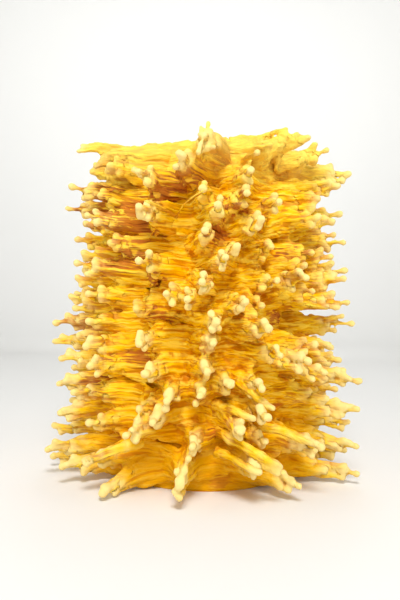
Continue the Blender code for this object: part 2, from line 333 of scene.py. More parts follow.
# What each point of a strand carries beside its place: its radius, how pale it is as a tip or a bead, how
# toasted it is, and how many millimetres it has climbed from the root of the strand.
CHAIN_VALUES = ("girth", "tip", "browned", "climb")


def eased(x):
    x = np.clip(x, 0.0, 1.0)
    return x * x * (3.0 - 2.0 * x)


def narrowed(share):
    """The half width of a spike at this share of its length, beside that of its root."""
    return 0.15 + 0.85 * np.exp(-share / 0.30)


def lowered(share):
    """The half height of a spike at this share of its length, beside that of its root."""
    return 0.22 + 0.78 * (1.0 - np.minimum(share, 1.0)) ** 0.8


def paled(share):
    """How pale an end or a bead is at this share of a spike's length."""
    return eased((share - 0.15) / 0.4)


def spike_length(spike):
    return spike["reach"] - wall_radius(spike["root"])


def placed(turn, reach, height):
    """Points at these angles in radians, these distances from the axis and these heights."""
    return np.column_stack((np.sin(turn) * reach, -np.cos(turn) * reach, height))


def along(spike, share, side, up):
    """Points at these shares of a spike's length, moved round the axis by side and up by up."""
    radius = wall_radius(spike["root"]) + spike_length(spike) * share
    turn = np.radians(spike["azimuth"] + spike["drift"] * (1.0 - share) ** 2) + side / radius
    height = spike["root"] + (spike["height"] - spike["root"]) * np.maximum(share, 0.0) + up
    return placed(turn, radius, height)


def distances_from_end(run, knob):
    """Distances from the end of a strand this long to its points, which lie close together at its knob."""
    steps = np.array(KNOB_STEPS) * knob
    return np.concatenate((steps, np.arange(steps[-1] + STRAND_STEP, run, STRAND_STEP)))


def knobbed(radius, from_end, knob):
    """The radius of a strand, narrowed to a neck towards its end and with a round knob on it."""
    ball = np.sqrt(np.maximum(knob ** 2 - (knob - from_end) ** 2, 0.0))
    return np.maximum(ball, radius * eased(from_end / (NECK_LENGTH * knob)))


def wavering(distance, waves, phases):
    """How far a strand wavers at these distances along it."""
    return sum(high * np.sin(distance / long + phase) for (high, long), phase in zip(waves, phases))


def beads(from_end, rng):
    """How far the beads at random places along a strand swell it, as a share of its radius."""
    swell = np.zeros(len(from_end))
    for place in np.arange(rng.uniform(0.0, BEAD_GAP), from_end[-1], BEAD_GAP):
        middle = place + rng.uniform(-BEAD_SHIFT, BEAD_SHIFT)
        bead = rng.uniform(*BEAD_SWELL) * np.exp(-((from_end - middle) / BEAD_LENGTH) ** 2)
        swell = np.maximum(swell, bead)
    return swell


def toasting(points):
    """How toasted the batter is at these points, from 0 to 1."""
    azimuth = np.degrees(np.arctan2(points[:, 0], -points[:, 1]))
    depth = np.zeros(len(points))
    for height, middle, up, round_axis, strength in TOASTED:
        turn = (azimuth - middle + 180.0) % 360.0 - 180.0
        patch = strength * np.exp(-((turn / round_axis) ** 2) - ((points[:, 2] - height) / up) ** 2)
        depth = np.maximum(depth, patch)
    return np.minimum(TOAST_FULLNESS * depth, 1.0)


def toast_depth(rng):
    """How deeply one strand takes the colour of the patch it lies in."""
    return rng.uniform(*TOAST_DEPTHS)


def strand(spike, rng, end, start, target, leave, girth, knob, wobble, browned=1.0, cream=4.0):
    """One strand along a spike, as the columns x, y, z and CHAIN_VALUES, from its end to its root.

    end is the share of the spike's length where it ends. start and target are how far it lies to the side and
    above the spike's line, at the root and at its end, and leave is the share from which it turns to target.
    girth is its radius at the root and further out, and knob is the radius of its rounded end, which is pale
    for cream times that. wobble is how far it wavers, and browned how deeply it is toasted.
    """
    length = spike_length(spike)
    from_end = distances_from_end(length * end + ROOT_DEPTH, knob)
    share = (length * end - from_end) / length
    outside = np.maximum(share, 0.0)
    turned = eased((share - leave) / max(end - leave, 0.05))
    phases = rng.uniform(0.0, 2.0 * math.pi, 4)
    sway = start[0] * narrowed(outside) * (1 - turned) + target[0] * turned
    sway += wobble * wavering(outside * length, SIDE_WAVES, phases[:2])
    lift = start[1] * lowered(outside) * (1 - turned) + target[1] * turned
    lift += wobble * wavering(outside * length, HEIGHT_WAVES, phases[2:])
    swell = beads(from_end, rng) * eased(0.5 * from_end / knob - 1.2)
    radius = girth[1] + (girth[0] - girth[1]) * np.exp(-outside / GIRTH_DECAY)
    radius = knobbed(radius * (1.0 + swell), from_end, knob)
    points = along(spike, share, sway, lift)
    points[:, 2] = np.maximum(points[:, 2], radius + TABLE_GAP)
    at_root, at_end = eased((share - 0.02) / 0.2), eased((0.97 * end - share) / 0.15)
    browning = browned * toasting(points) * at_root * at_end
    tip = eased(1.0 - from_end / (cream * knob)) * paled(end)
    # Beads are pale partly as cream batter, partly as a painted highlight on their swelling.
    tip = np.maximum(tip, BEAD_CREAM_AND_HIGHLIGHT * swell * paled(share))
    climb = (spike["height"] - spike["root"]) * outside
    return np.column_stack((points, radius, tip, browning, climb))


def route(points, girth, knob, rng):
    """One listed strand through points given as azimuth, reach and height, in the columns of strand."""
    azimuth, reach, height = np.array(points, dtype=float).T
    corners = placed(np.radians(azimuth), reach, height)
    travelled = np.concatenate(([0.0], np.cumsum(np.linalg.norm(np.diff(corners, axis=0), axis=1))))
    from_end = distances_from_end(travelled[-1], knob)
    line = np.column_stack([np.interp(travelled[-1] - from_end, travelled, column) for column in corners.T])
    line[:, 2] += wavering(from_end, ROUTE_WAVES, (rng.uniform(0.0, 2.0 * math.pi),))
    swell = beads(from_end, rng)
    radius = knobbed(girth * (1.0 + from_end / ROUTE_THICKENING) * (1.0 + swell), from_end, knob)
    # Beads are pale partly as cream batter, partly as a painted highlight on their swelling.
    tip = np.maximum(0.9 * eased(1.0 - from_end / (5.0 * knob)), BEAD_CREAM_AND_HIGHLIGHT * swell)
    browning = toasting(line) * rng.uniform(*ROUTE_TOAST)
    return np.column_stack((line, radius, tip, browning, line[:, 2] - height[0]))


def core(spike, rng):
    """The stout strands inside a spike."""
    wide, tall = spike["half_width"], spike["half_height"]
    core_end = rng.uniform(*CORE_ENDS)
    girth = (tall * CORE_ROOT, CORE_GIRTH)
    return [
        strand(spike, rng, core_end * share, (wide * side, tall * up), (0.0, up * 3.0), 0.5, girth, CORE_KNOB,
               CORE_WOBBLE)
        for side, up, share in CORE_PLACES
    ]


def fingers(spike, rng):
    """The strands that a spike ends in."""
    wide, tall = spike["half_width"], spike["half_height"]
    strands = []
    for end, side, up in spike["fingers"][:PLAIN_FINGERS if spike["plain"] else None]:
        turn = math.atan2(up, side) + rng.uniform(-0.5, 0.5)
        start = (wide * 0.45 * math.cos(turn), tall * 0.75 * math.sin(turn))
        knob = rng.uniform(*FINGER_KNOBS)
        girth = (FINGER_ROOT, knob * rng.uniform(*FINGER_NECKS))
        leave = rng.uniform(0.4, 0.6)
        browned = toast_depth(rng)
        strands.append(strand(spike, rng, end, start, (side, up), leave, girth, knob, WOBBLE, browned))
    return strands


def flanks(spike, rng):
    """The strands round a spike, which end short of its fingers."""
    wide, tall = spike["half_width"], spike["half_height"]
    strands = []
    for side, level in FLANK_PLACES:
        end = rng.uniform(*(SHORT_ENDS if abs(level) > 0.5 else LONG_ENDS))
        level += rng.uniform(-0.14, 0.14)
        start = (wide * side * math.sqrt(max(1.0 - level ** 2, 0.1)), tall * level)
        target = (side * rng.uniform(1.0, 3.0), start[1] * rng.uniform(0.45, 0.75))
        knob = rng.uniform(*FLANK_KNOBS)
        girth = (rng.uniform(*FLANK_ROOTS), knob * rng.uniform(*FLANK_NECKS))
        browned = toast_depth(rng)
        strands.append(strand(spike, rng, end, start, target, end * 0.5, girth, knob, WOBBLE, browned))
    return strands


def crests(spike, rng):
    """The two pale strands along the crest of a spike."""
    wide, tall = spike["half_width"], spike["half_height"]
    strands = []
    for side in (-1.0, 1.0):
        start, target = (side * wide * 0.15, tall * 0.95), (side * 1.3, 1.6)
        end = rng.uniform(*CREST_ENDS)
        knob = rng.uniform(*CREST_KNOBS)
        strands.append(strand(spike, rng, end, start, target, 0.5, CREST_GIRTH, knob, CREST_WOBBLE,
                              CREST_TOAST, CREST_CREAM))
    return strands


def nodules(spike, rng):
    """The short strands whose knobs stand out of a spike."""
    wide, tall = spike["half_width"], spike["half_height"]
    strands = []
    for _ in range(NODULES):
        turn = rng.uniform(0.0, 2.0 * math.pi)
        end = rng.uniform(*NODULE_ENDS)
        proud = rng.uniform(*NODULE_PROUD)
        start = (wide * 0.8 * math.cos(turn), tall * 0.8 * math.sin(turn))
        target = ((wide * float(narrowed(end)) + proud) * math.cos(turn),
                  (tall * float(lowered(end)) + proud) * math.sin(turn))
        knob = rng.uniform(*NODULE_KNOBS)
        browned = toast_depth(rng)
        cream = rng.uniform(*NODULE_CREAMS)
        strands.append(strand(spike, rng, end, start, target, end * 0.6, NODULE_GIRTH, knob, NODULE_WOBBLE,
                              browned, cream))
    return strands


def bundle(spike, rng):
    """All the strands of one spike. A bare one has only its core."""
    strands = core(spike, rng)
    if spike["bare"]:
        return strands
    strands += fingers(spike, rng)
    strands += flanks(spike, rng)
    if spike["crested"]:
        strands += crests(spike, rng)
    strands += nodules(spike, rng)
    return strands


def neighbour(spike, spikes, rises, turns):
    """The nearest spike whose root lies within these rises and turns of this one's, or None."""
    found, nearest = None, 1e9
    for other in spikes:
        rise = other["root"] - spike["root"]
        turn = math.remainder(other["azimuth"] - spike["azimuth"], 360.0)
        if rises[0] < rise < rises[1] and turns[0] < turn < turns[1] and abs(rise) + abs(turn) < nearest:
            found, nearest = other, abs(rise) + abs(turn)
    return found


def saddle(lower, upper, rng):
    """The strands that fill the gap between two spikes that stand one above the other."""
    count = max(int((upper["root"] - lower["root"]) / SADDLE_PITCH), 2)
    turn = math.remainder(upper["azimuth"] - lower["azimuth"], 360.0)
    strands = []
    for place in range(1, count):
        share = place / count
        line = {key: between(lower[key], upper[key], share) for key in ("height", "reach", "root", "drift")}
        line["azimuth"] = lower["azimuth"] + turn * share
        end = rng.uniform(*SADDLE_ENDS) * (0.6 + 0.4 * abs(2.0 * share - 1.0))
        start = tuple(rng.uniform(-shift, shift) for shift in SADDLE_SHIFTS)
        girth = (rng.uniform(*SADDLE_ROOTS), rng.uniform(*SADDLE_NECKS))
        knob = rng.uniform(*SADDLE_KNOBS)
        browned = toast_depth(rng)
        strands.append(strand(line, rng, end, start, start, end, girth, knob, SADDLE_WOBBLE, browned))
    return strands


def valley(left, right, rng):
    """The strands that run down the flank of one spike, across the wall and up the flank of the next."""
    turn = math.remainder(right["azimuth"] - left["azimuth"], 360.0)
    flank = VALLEY_FLANK_CRESTED if left["crested"] or right["crested"] else VALLEY_FLANK
    from_ends = np.minimum(np.arange(VALLEY_POINTS), np.arange(VALLEY_POINTS)[::-1])
    strands = []
    for level in np.arange(-VALLEY_HALF_HEIGHT, VALLEY_HALF_HEIGHT + 0.1, VALLEY_PITCH):
        level += rng.uniform(-VALLEY_SHAKE, VALLEY_SHAKE)
        across = np.linspace(rng.uniform(*VALLEY_MARGINS), 1.0 - rng.uniform(*VALLEY_MARGINS), VALLEY_POINTS)
        share = VALLEY_FLOOR + flank * np.exp(-np.minimum(across, 1.0 - across) / VALLEY_DECAY)
        share = share * (1.0 - VALLEY_HOLLOWING * (level / VALLEY_HALF_HEIGHT) ** 2)
        mixed_in = eased(across)
        root = between(left["root"], right["root"], mixed_in)
        rise = between(left["height"] - left["root"], right["height"] - right["root"], mixed_in)
        length = between(spike_length(left), spike_length(right), mixed_in)
        # Its height, its depth and its girth all waver on the way.
        phase = rng.uniform(0.0, 2.0 * math.pi, 3)
        height = root + rise * share + level * (0.35 + 0.65 * lowered(share))
        height += 0.7 * np.sin(across * 9.0 + phase[0]) + 0.4 * np.sin(across * 21.0 + phase[1])
        radius = wall_radius(root) + length * share + 0.4 * np.sin(across * 17.0 + phase[2])
        girth = rng.uniform(*VALLEY_GIRTHS) * (1.0 + 0.12 * np.sin(across * 31.0 + phase[0]))
        girth = girth * np.interp(from_ends, (0, 1, 2), VALLEY_END_GIRTHS)
        height = np.clip(height, girth + VALLEY_TABLE_GAP, WALL_HEIGHT - CLEAR_OF_RIM)
        line = placed(np.radians(left["azimuth"] + turn * across), radius, height)
        browning = toast_depth(rng) * toasting(line)
        tip = 0.4 * eased(1.0 - from_ends / 1.5)
        strands.append(np.column_stack((line, girth, tip, browning, rise * share)))
    return strands


def chains(name, strands):
    """A mesh of bare edges that holds the strands, with their values on its points."""
    rows = np.concatenate(strands)
    rows[:, :4] *= MM
    starts = np.cumsum([0] + [len(line) for line in strands])
    ends = set(starts[1:] - 1)
    edges = np.array([(i, i + 1) for i in range(len(rows)) if i not in ends])
    mesh = bpy.data.meshes.new(name)
    mesh.vertices.add(len(rows))
    mesh.vertices.foreach_set("co", rows[:, :3].astype(np.float32).ravel())
    mesh.edges.add(len(edges))
    mesh.edges.foreach_set("vertices", edges.astype(np.int32).ravel())
    for column, value in enumerate(CHAIN_VALUES, start=3):
        layer = mesh.attributes.new(value, "FLOAT", "POINT")
        layer.data.foreach_set("value", rows[:, column].astype(np.float32))
    mesh.update()
    return mesh


# ---------------------------------------------------------------- node trees


def add(tree, kind, inputs=None, **settings):
    """A new node with its settings and inputs. An input that is a socket is linked, any other is set."""
    node = tree.nodes.new(kind)
    for setting, value in settings.items():
        setattr(node, setting, value)
    for key, value in (inputs or {}).items():
        if isinstance(value, bpy.types.NodeSocket):
            tree.links.new(value, node.inputs[key])
        else:
            node.inputs[key].default_value = value
    return node


def maths(tree, operation, *values):
    return add(tree, "ShaderNodeMath", dict(enumerate(values)), operation=operation).outputs[0]


def vector_maths(tree, operation, *values):
    return add(tree, "ShaderNodeVectorMath", dict(enumerate(values)), operation=operation)


def scaled(tree, vector, scale):
    return add(tree, "ShaderNodeVectorMath", {0: vector, "Scale": scale}, operation="SCALE").outputs[0]


def noise(tree, place, scale, detail):
    return add(tree, "ShaderNodeTexNoise", {"Vector": place, "Scale": scale, "Detail": detail}).outputs[0]


def ramped(tree, value, low, high, bottom=0.0, top=1.0):
    """value as a share between low and high, eased and clamped, and then between bottom and top."""
    inputs = {"Value": value, "From Min": low, "From Max": high, "To Min": bottom, "To Max": top}
    return add(tree, "ShaderNodeMapRange", inputs, interpolation_type="SMOOTHSTEP").outputs[0]


def new_tree(name, kind, inputs, outputs):
    """A node tree with named sockets, as (name, socket type, default value or None)."""
    tree = bpy.data.node_groups.new(name, kind)
    for way, sockets in (("INPUT", inputs), ("OUTPUT", outputs)):
        for label, socket_type, default in sockets:
            socket = tree.interface.new_socket(label, in_out=way, socket_type=socket_type)
            if default is not None:
                socket.default_value = default
    return tree, add(tree, "NodeGroupInput").outputs, add(tree, "NodeGroupOutput").inputs


def named(tree, label):
    """The named value on the points of a mesh."""
    named_value = add(tree, "GeometryNodeInputNamedAttribute", {"Name": label}, data_type="FLOAT")
    return named_value.outputs["Attribute"]


def stored(tree, mesh, label, value):
    """mesh, with this value stored on its points under a name."""
    inputs = {"Geometry": mesh, "Name": label, "Value": value}
    return add(tree, "GeometryNodeStoreNamedAttribute", inputs, data_type="FLOAT", domain="POINT").outputs[0]


def carried(tree, mesh, source, labels):
    """mesh, with these named values read off the nearest place on source."""
    for label in labels:
        nearest = add(tree, "GeometryNodeSampleNearestSurface", {"Mesh": source, "Value": named(tree, label)})
        mesh = stored(tree, mesh, label, nearest.outputs["Value"])
    return mesh


def evened(tree, value, rounds, kind="FLOAT"):
    """value, evened out between neighbouring points this many times."""
    blur = add(tree, "GeometryNodeBlurAttribute", {"Value": value, "Iterations": rounds}, data_type=kind)
    return blur.outputs[0]


def position(tree):
    return add(tree, "GeometryNodeInputPosition").outputs[0]


def normal(tree):
    return add(tree, "GeometryNodeInputNormal").outputs[0]


def rods_along(tree, lines, sides):
    """Round closed rods along lines, as thick as the girth on their points."""
    curves = add(tree, "GeometryNodeMeshToCurve", {"Mesh": lines}).outputs["Curve"]
    ring = add(tree, "GeometryNodeCurvePrimitiveCircle", {"Resolution": sides, "Radius": 1.0})
    inputs = {"Curve": curves, "Profile Curve": ring.outputs["Curve"], "Scale": named(tree, "girth"),
              "Fill Caps": True}
    return add(tree, "GeometryNodeCurveToMesh", inputs).outputs["Mesh"]


def depth_grid(tree, mesh, grain):
    return add(tree, "GeometryNodeMeshToSDFGrid", {"Mesh": mesh, "Voxel Size": grain}).outputs[0]


def shell(tree, grid, distance, thinning=0.0):
    """The surface at this distance outside the mesh that a depth grid was made from."""
    inputs = {"Grid": grid, "Threshold": distance, "Adaptivity": thinning}
    return add(tree, "GeometryNodeGridToMesh", inputs).outputs[0]


def without_scraps(tree, mesh, least):
    """mesh without the islands that have fewer points than this."""
    island = add(tree, "GeometryNodeInputMeshIsland").outputs["Island Index"]
    count = add(tree, "GeometryNodeAccumulateField", {"Value": 1, "Group ID": island}, data_type="INT",
                domain="POINT").outputs["Total"]
    scrap = add(tree, "FunctionNodeCompare", {2: count, 3: least}, data_type="INT",
                operation="LESS_THAN").outputs["Result"]
    inputs = {"Geometry": mesh, "Selection": scrap}
    return add(tree, "GeometryNodeDeleteGeometry", inputs, domain="POINT").outputs[0]


def finished(tree, skin, given, result):
    """Ends a tree: its skin is shaded smooth, realized and given its crust."""
    skin = add(tree, "GeometryNodeSetShadeSmooth", {"Geometry": skin, "Shade Smooth": True}).outputs[0]
    skin = add(tree, "GeometryNodeRealizeInstances", {"Geometry": skin}).outputs[0]
    skin = add(tree, "GeometryNodeSetMaterial", {"Geometry": skin, "Material": given["Crust"]}).outputs[0]
    tree.links.new(skin, result["Skin"])
    return tree


def made_by(tree, name, mesh, crust):
    """The plain mesh object that a tree makes from a mesh."""
    source = bpy.data.objects.new(name + "_source", mesh)
    bpy.context.scene.collection.objects.link(source)
    modifier = source.modifiers.new("tree", "NODES")
    modifier.node_group = tree
    sockets = {item.name: item.identifier for item in tree.interface.items_tree if item.in_out == "INPUT"}
    modifier[sockets["Crust"]] = crust
    evaluated = source.evaluated_get(bpy.context.evaluated_depsgraph_get())
    made = bpy.data.meshes.new_from_object(evaluated)
    made.name = name
    piece = bpy.data.objects.new(name, made)
    bpy.data.objects.remove(source)
    bpy.context.scene.collection.objects.link(piece)
    return piece


# ---------------------------------------------------------------- the spikes

# Streaks in the batter, as cells of noise to the metre, along the strands and across them.
BROAD_STREAKS = (55.0, 320.0)
FINE_STREAKS = (85.0, 680.0)
STREAK_TURN = 0.08  # cells round the axis, beside those along the strands
STREAK_BEND, STREAK_BENDS = 4.0 * MM, 70.0  # how far the streaks bend, and how often to the metre
PLAIN_FOOT, FOOT_STREAKS = (15.0 * MM, 90.0 * MM), 0.75  # where the foot ends, and their strength on it
SEAM_CLIMBS = (0.3, 1.5)  # the steps of climb, in mm, at which a seam begins and is full


def streaks(tree, place, climb, joined, cells):
    """Noise drawn out along the strands. It is fainter towards the foot and fades where two spikes join."""
    apart = add(tree, "ShaderNodeSeparateXYZ", {"Vector": place}).outputs
    flat = add(tree, "ShaderNodeCombineXYZ", {"X": apart["X"], "Y": apart["Y"]}).outputs[0]
    reach = vector_maths(tree, "LENGTH", flat).outputs["Value"]
    around = vector_maths(tree, "NORMALIZE", flat).outputs[0]
    around = add(tree, "ShaderNodeSeparateXYZ", {"Vector": around}).outputs
    bend = maths(tree, "SUBTRACT", noise(tree, place, STREAK_BENDS, 1.0), 0.5)
    level = maths(tree, "MULTIPLY_ADD", climb, -MM, apart["Z"])
    level = maths(tree, "MULTIPLY_ADD", bend, STREAK_BEND, level)
    lengthwise, crosswise = cells
    outwards = maths(tree, "MULTIPLY", reach, lengthwise)
    drawn_out = add(tree, "ShaderNodeCombineXYZ", {
        "X": maths(tree, "MULTIPLY_ADD", around["X"], lengthwise * STREAK_TURN, outwards),
        "Y": maths(tree, "MULTIPLY", around["Y"], lengthwise * STREAK_TURN),
        "Z": maths(tree, "MULTIPLY", level, crosswise),
    }).outputs[0]
    streak = maths(tree, "SUBTRACT", noise(tree, drawn_out, 1.0, 2.0), 0.5)
    strength = ramped(tree, apart["Z"], *PLAIN_FOOT, bottom=FOOT_STREAKS)
    strength = maths(tree, "MULTIPLY", strength, maths(tree, "SUBTRACT", 1.0, joined))
    return maths(tree, "MULTIPLY_ADD", streak, strength, 0.5)


def fused_batter_tree():
    """Turns chains of points into round strands and bakes those into one skin.

    The strands are swollen by the fillet and shrunk by it again, which rounds the creases between them. The
    skin carries the strands' own values, how hollow each place is, and where the strands of two spikes join.
    Streaks are then raised on it, except at the tips and where spikes join.
    """
    tree, given, result = new_tree(
        "fused_batter", "GeometryNodeTree",
        (("Strands", "NodeSocketGeometry", None), ("Strand Sides", "NodeSocketInt", 8),
         ("Grain", "NodeSocketFloat", 1.15 * MM), ("Fillet", "NodeSocketFloat", 0.6 * MM),
         ("Thinning", "NodeSocketFloat", 0.12), ("Least Scrap", "NodeSocketInt", 150),
         ("Hollow Width", "NodeSocketInt", 7), ("Seam Width", "NodeSocketInt", 3),
         ("Lump Size", "NodeSocketFloat", 6.0 * MM), ("Lump Height", "NodeSocketFloat", 0.45 * MM),
         ("Streak Height", "NodeSocketFloat", 2.0 * MM), ("Crust", "NodeSocketMaterial", None)),
        (("Skin", "NodeSocketGeometry", None),),
    )
    place, outwards = position(tree), normal(tree)
    rods = rods_along(tree, given["Strands"], given["Strand Sides"])
    swollen = shell(tree, depth_grid(tree, rods, given["Grain"]), given["Fillet"])
    depth = depth_grid(tree, swollen, given["Grain"])
    shrunk_by = maths(tree, "MULTIPLY", given["Fillet"], -1.0)

    dense = shell(tree, depth, shrunk_by)
    # How far each place is sunk below its neighbours, which the crust paints darker as shade in the creases.
    sunk = vector_maths(tree, "SUBTRACT", evened(tree, place, given["Hollow Width"], "FLOAT_VECTOR"), place)
    sunk = vector_maths(tree, "DOT_PRODUCT", sunk.outputs[0], outwards).outputs["Value"]
    dense = stored(tree, dense, "hollow", maths(tree, "DIVIDE", sunk, MM))

    skin = without_scraps(tree, shell(tree, depth, shrunk_by, given["Thinning"]), given["Least Scrap"])
    skin = carried(tree, skin, dense, ("hollow",))
    skin = carried(tree, skin, rods, CHAIN_VALUES[1:])
    climb = named(tree, "climb")
    step = maths(tree, "SUBTRACT", climb, evened(tree, climb, given["Seam Width"]))
    skin = stored(tree, skin, "joined", ramped(tree, maths(tree, "ABSOLUTE", step), *SEAM_CLIMBS))

    lumps = noise(tree, place, maths(tree, "DIVIDE", 1.0, given["Lump Size"]), 1.0)
    lumps = maths(tree, "MULTIPLY", maths(tree, "SUBTRACT", lumps, 0.5), given["Lump Height"])
    streak = streaks(tree, place, climb, named(tree, "joined"), BROAD_STREAKS)
    streak = maths(tree, "MULTIPLY", maths(tree, "SUBTRACT", streak, 0.5), given["Streak Height"])
    smooth_end = evened(tree, named(tree, "tip"), given["Seam Width"])
    streak = maths(tree, "MULTIPLY", streak, maths(tree, "SUBTRACT", 1.0, smooth_end))
    raised = scaled(tree, outwards, maths(tree, "MULTIPLY_ADD", lumps, 2.0, streak))
    softened = evened(tree, place, 1, "FLOAT_VECTOR")
    moved = add(tree, "GeometryNodeSetPosition", {"Geometry": skin, "Position": softened, "Offset": raised})
    return finished(tree, moved.outputs[0], given, result)


def marked(spikes):
    """The spikes, each with its tier and with how it is dressed."""
    known = len(RIM_WEBS) + len(seen_tips())
    for number, spike in enumerate(spikes):
        low_in_front = spike["height"] < CRESTED_BELOW and abs(spike["azimuth"]) < FRONT_TURN
        spike["plain"] = number >= known
        spike["crested"] = number < known and low_in_front
        spike["bare"] = number < len(RIM_WEBS) or (spike["height"], spike["azimuth"]) in BARE_TIPS
        spike["tier"] = min(int(spike["root"] / WALL_HEIGHT * TIERS), TIERS - 1)
    return spikes


def spike_pieces(crust):
    """The spikes, in tiers from the foot to the rim."""
    tree = fused_batter_tree()
    spikes = marked(plan_spikes())
    tiers = [[] for _ in range(TIERS)]
    for number, spike in enumerate(spikes):
        tiers[spike["tier"]] += bundle(spike, np.random.default_rng((STRAND_SEED, number)))
    rng = np.random.default_rng(STRAND_SEED)
    tiers[-1] += [route(points, girth, knob, rng) for points, girth, knob in RIM_STRANDS]
    tiers[0] += [route(points, girth, knob, rng) for points, girth, knob in FOOT_STRANDS]
    for number, spike in enumerate(spikes):
        rng = np.random.default_rng((STRAND_SEED + 1, number))
        above = neighbour(spike, spikes[len(RIM_WEBS):], SADDLE_RISES, SADDLE_TURNS)
        beside = neighbour(spike, spikes, VALLEY_RISES, VALLEY_TURNS)
        if above:
            tiers[spike["tier"]] += saddle(spike, above, rng)
        if beside:
            tiers[spike["tier"]] += valley(spike, beside, rng)
    return [
        made_by(tree, f"spikes_tier_{tier}", chains(f"strands_{tier}", strands), crust)
        for tier, strands in enumerate(tiers, start=1)
    ]


# ---------------------------------------------------------------- fine threads

# Fine threads that lie across the strands, each as the azimuth and height of the places it goes through.
FINE_THREADS = (
    ((-16.7, 187), (-11.0, 194), (-5.4, 198), (3.3, 205)),
    ((-36.0, 173), (-31.5, 176), (-27.0, 180)),
    ((13.7, 171), (21.2, 175), (28.5, 181)),
    ((-5.8, 153), (-0.8, 156), (4.2, 158)),
    ((-24.5, 196), (-20.1, 192), (-16.2, 188)),
    ((-28.9, 198), (-23.4, 194), (-18.8, 189)),
)
THREAD_RADIUS = 0.5
THREAD_POINTS = 16
THREAD_PALENESS = 0.35
OUTSIDE_REACH = 130.0


def fine_thread_tree():
    """Turns chains of points into round threads and leaves them apart."""
    tree, given, result = new_tree(
        "fine_threads", "GeometryNodeTree",
        (("Threads", "NodeSocketGeometry", None), ("Thread Sides", "NodeSocketInt", 6),
         ("Crust", "NodeSocketMaterial", None)),
        (("Skin", "NodeSocketGeometry", None),),
    )
    return finished(tree, rods_along(tree, given["Threads"], given["Thread Sides"]), given, result)


def cover_reach(covers, turn, height):
    """How far from the axis the outermost of these covers lies at this angle and height."""
    out = Vector((math.sin(turn), -math.cos(turn), 0.0))
    start = out * (OUTSIDE_REACH * MM) + Vector((0.0, 0.0, height * MM))
    hits = [cover.ray_cast(start, -out)[3] for cover in covers]
    return OUTSIDE_REACH - min(hit for hit in hits if hit is not None) / MM


def pulled_taut(reach):
    """The reach of a thread that touches places of these reaches, and spans the hollows between them."""
    count = len(reach)
    spans = [
        max(between(reach[a], reach[b], (i - a) / (b - a)) for a in range(i) for b in range(i + 1, count))
        for i in range(1, count - 1)
    ]
    return np.concatenate((reach[:1], np.maximum(reach[1:-1], spans), reach[-1:]))


def fine_threads(tiers, crust):
    """The fine threads of batter that dripped across the strands of these tiers."""
    covers = [BVHTree.FromObject(tier, bpy.context.evaluated_depsgraph_get()) for tier in tiers]
    threads = []
    for places in FINE_THREADS:
        azimuth, height = np.array(places, dtype=float).T
        steps = np.linspace(0.0, len(places) - 1.0, THREAD_POINTS)
        turn = np.radians(np.interp(steps, np.arange(len(places)), azimuth))
        level = np.interp(steps, np.arange(len(places)), height)
        reach = pulled_taut(np.array([cover_reach(covers, *place) for place in zip(turn, level)]))
        values = np.tile((THREAD_RADIUS, THREAD_PALENESS, 0.0, 0.0), (THREAD_POINTS, 1))
        threads.append(np.column_stack((placed(turn, reach, level), values)))
    return made_by(fine_thread_tree(), "fine_threads", chains("thread_lines", threads), crust)


# ---------------------------------------------------------------- the wall

WALL_SIDES = 150
WALL_STEP = 1.6
RIM_RINGS = 12
BORE_STEP = 5.0
RIM_DIP = 4.0
RIM_DIP_AT, RIM_DIP_WIDTH = math.radians(4.0), math.radians(24.0)
RIM_NICK = 0.6
PLAIN_EDGE = 4.0 * MM  # how high above the table the layers begin
TORN_EDGE = ((WALL_HEIGHT - 9.0) * MM, (WALL_HEIGHT - 4.0) * MM)


def wall_outline(top):
    """Radius and height of the points round one side of the wall: up, across the rim, down and back."""
    outside = np.linspace(0.0, 1.0, int(WALL_HEIGHT / WALL_STEP) + 1)
    across = np.linspace(0.0, 1.0, RIM_RINGS + 1)[1:-1]
    inside = np.linspace(1.0, 0.0, int(WALL_HEIGHT / BORE_STEP) + 1)
    radius = np.concatenate((
        between(WALL_RADIUS_FOOT, WALL_RADIUS_RIM, outside),
        between(WALL_RADIUS_RIM, HOLE_RADIUS_RIM, across),
        between(HOLE_RADIUS_FOOT, HOLE_RADIUS_RIM, inside),
        between(HOLE_RADIUS_FOOT, WALL_RADIUS_FOOT, across),
    ))
    height = np.concatenate((outside, np.ones(len(across)), inside, np.zeros(len(across))))
    return radius, height[None, :] * top[:, None]


def wall_mesh():
    """The wall with its hole, as a plain grid. Its rim dips in front and is nicked all round."""
    turn = np.arange(WALL_SIDES) * 2.0 * math.pi / WALL_SIDES
    from_dip = (turn - RIM_DIP_AT + math.pi) % (2.0 * math.pi) - math.pi
    top = rim_height(turn) - RIM_DIP * np.exp(-((from_dip / RIM_DIP_WIDTH) ** 2))
    top += RIM_NICK * np.sign(np.sin(7.0 * turn + 2.0) + np.sin(12.0 * turn))
    radius, height = wall_outline(top)
    count = len(radius)
    points = np.stack((
        np.sin(turn)[:, None] * radius[None, :], -np.cos(turn)[:, None] * radius[None, :], height,
    ), axis=-1).reshape(-1, 3) * MM
    column = np.arange(WALL_SIDES)[:, None] * count
    following = np.roll(np.arange(WALL_SIDES), -1)[:, None] * count
    row, next_row = np.arange(count)[None, :], np.roll(np.arange(count), -1)[None, :]
    faces = np.stack((column + row, following + row, following + next_row, column + next_row), axis=-1)
    mesh = bpy.data.meshes.new("wall_grid")
    mesh.from_pydata(points, [], faces.reshape(-1, 4))
    layer = mesh.attributes.new("browned", "FLOAT", "POINT")
    layer.data.foreach_set("value", toasting(points / MM).astype(np.float32))
    mesh.update()
    return mesh


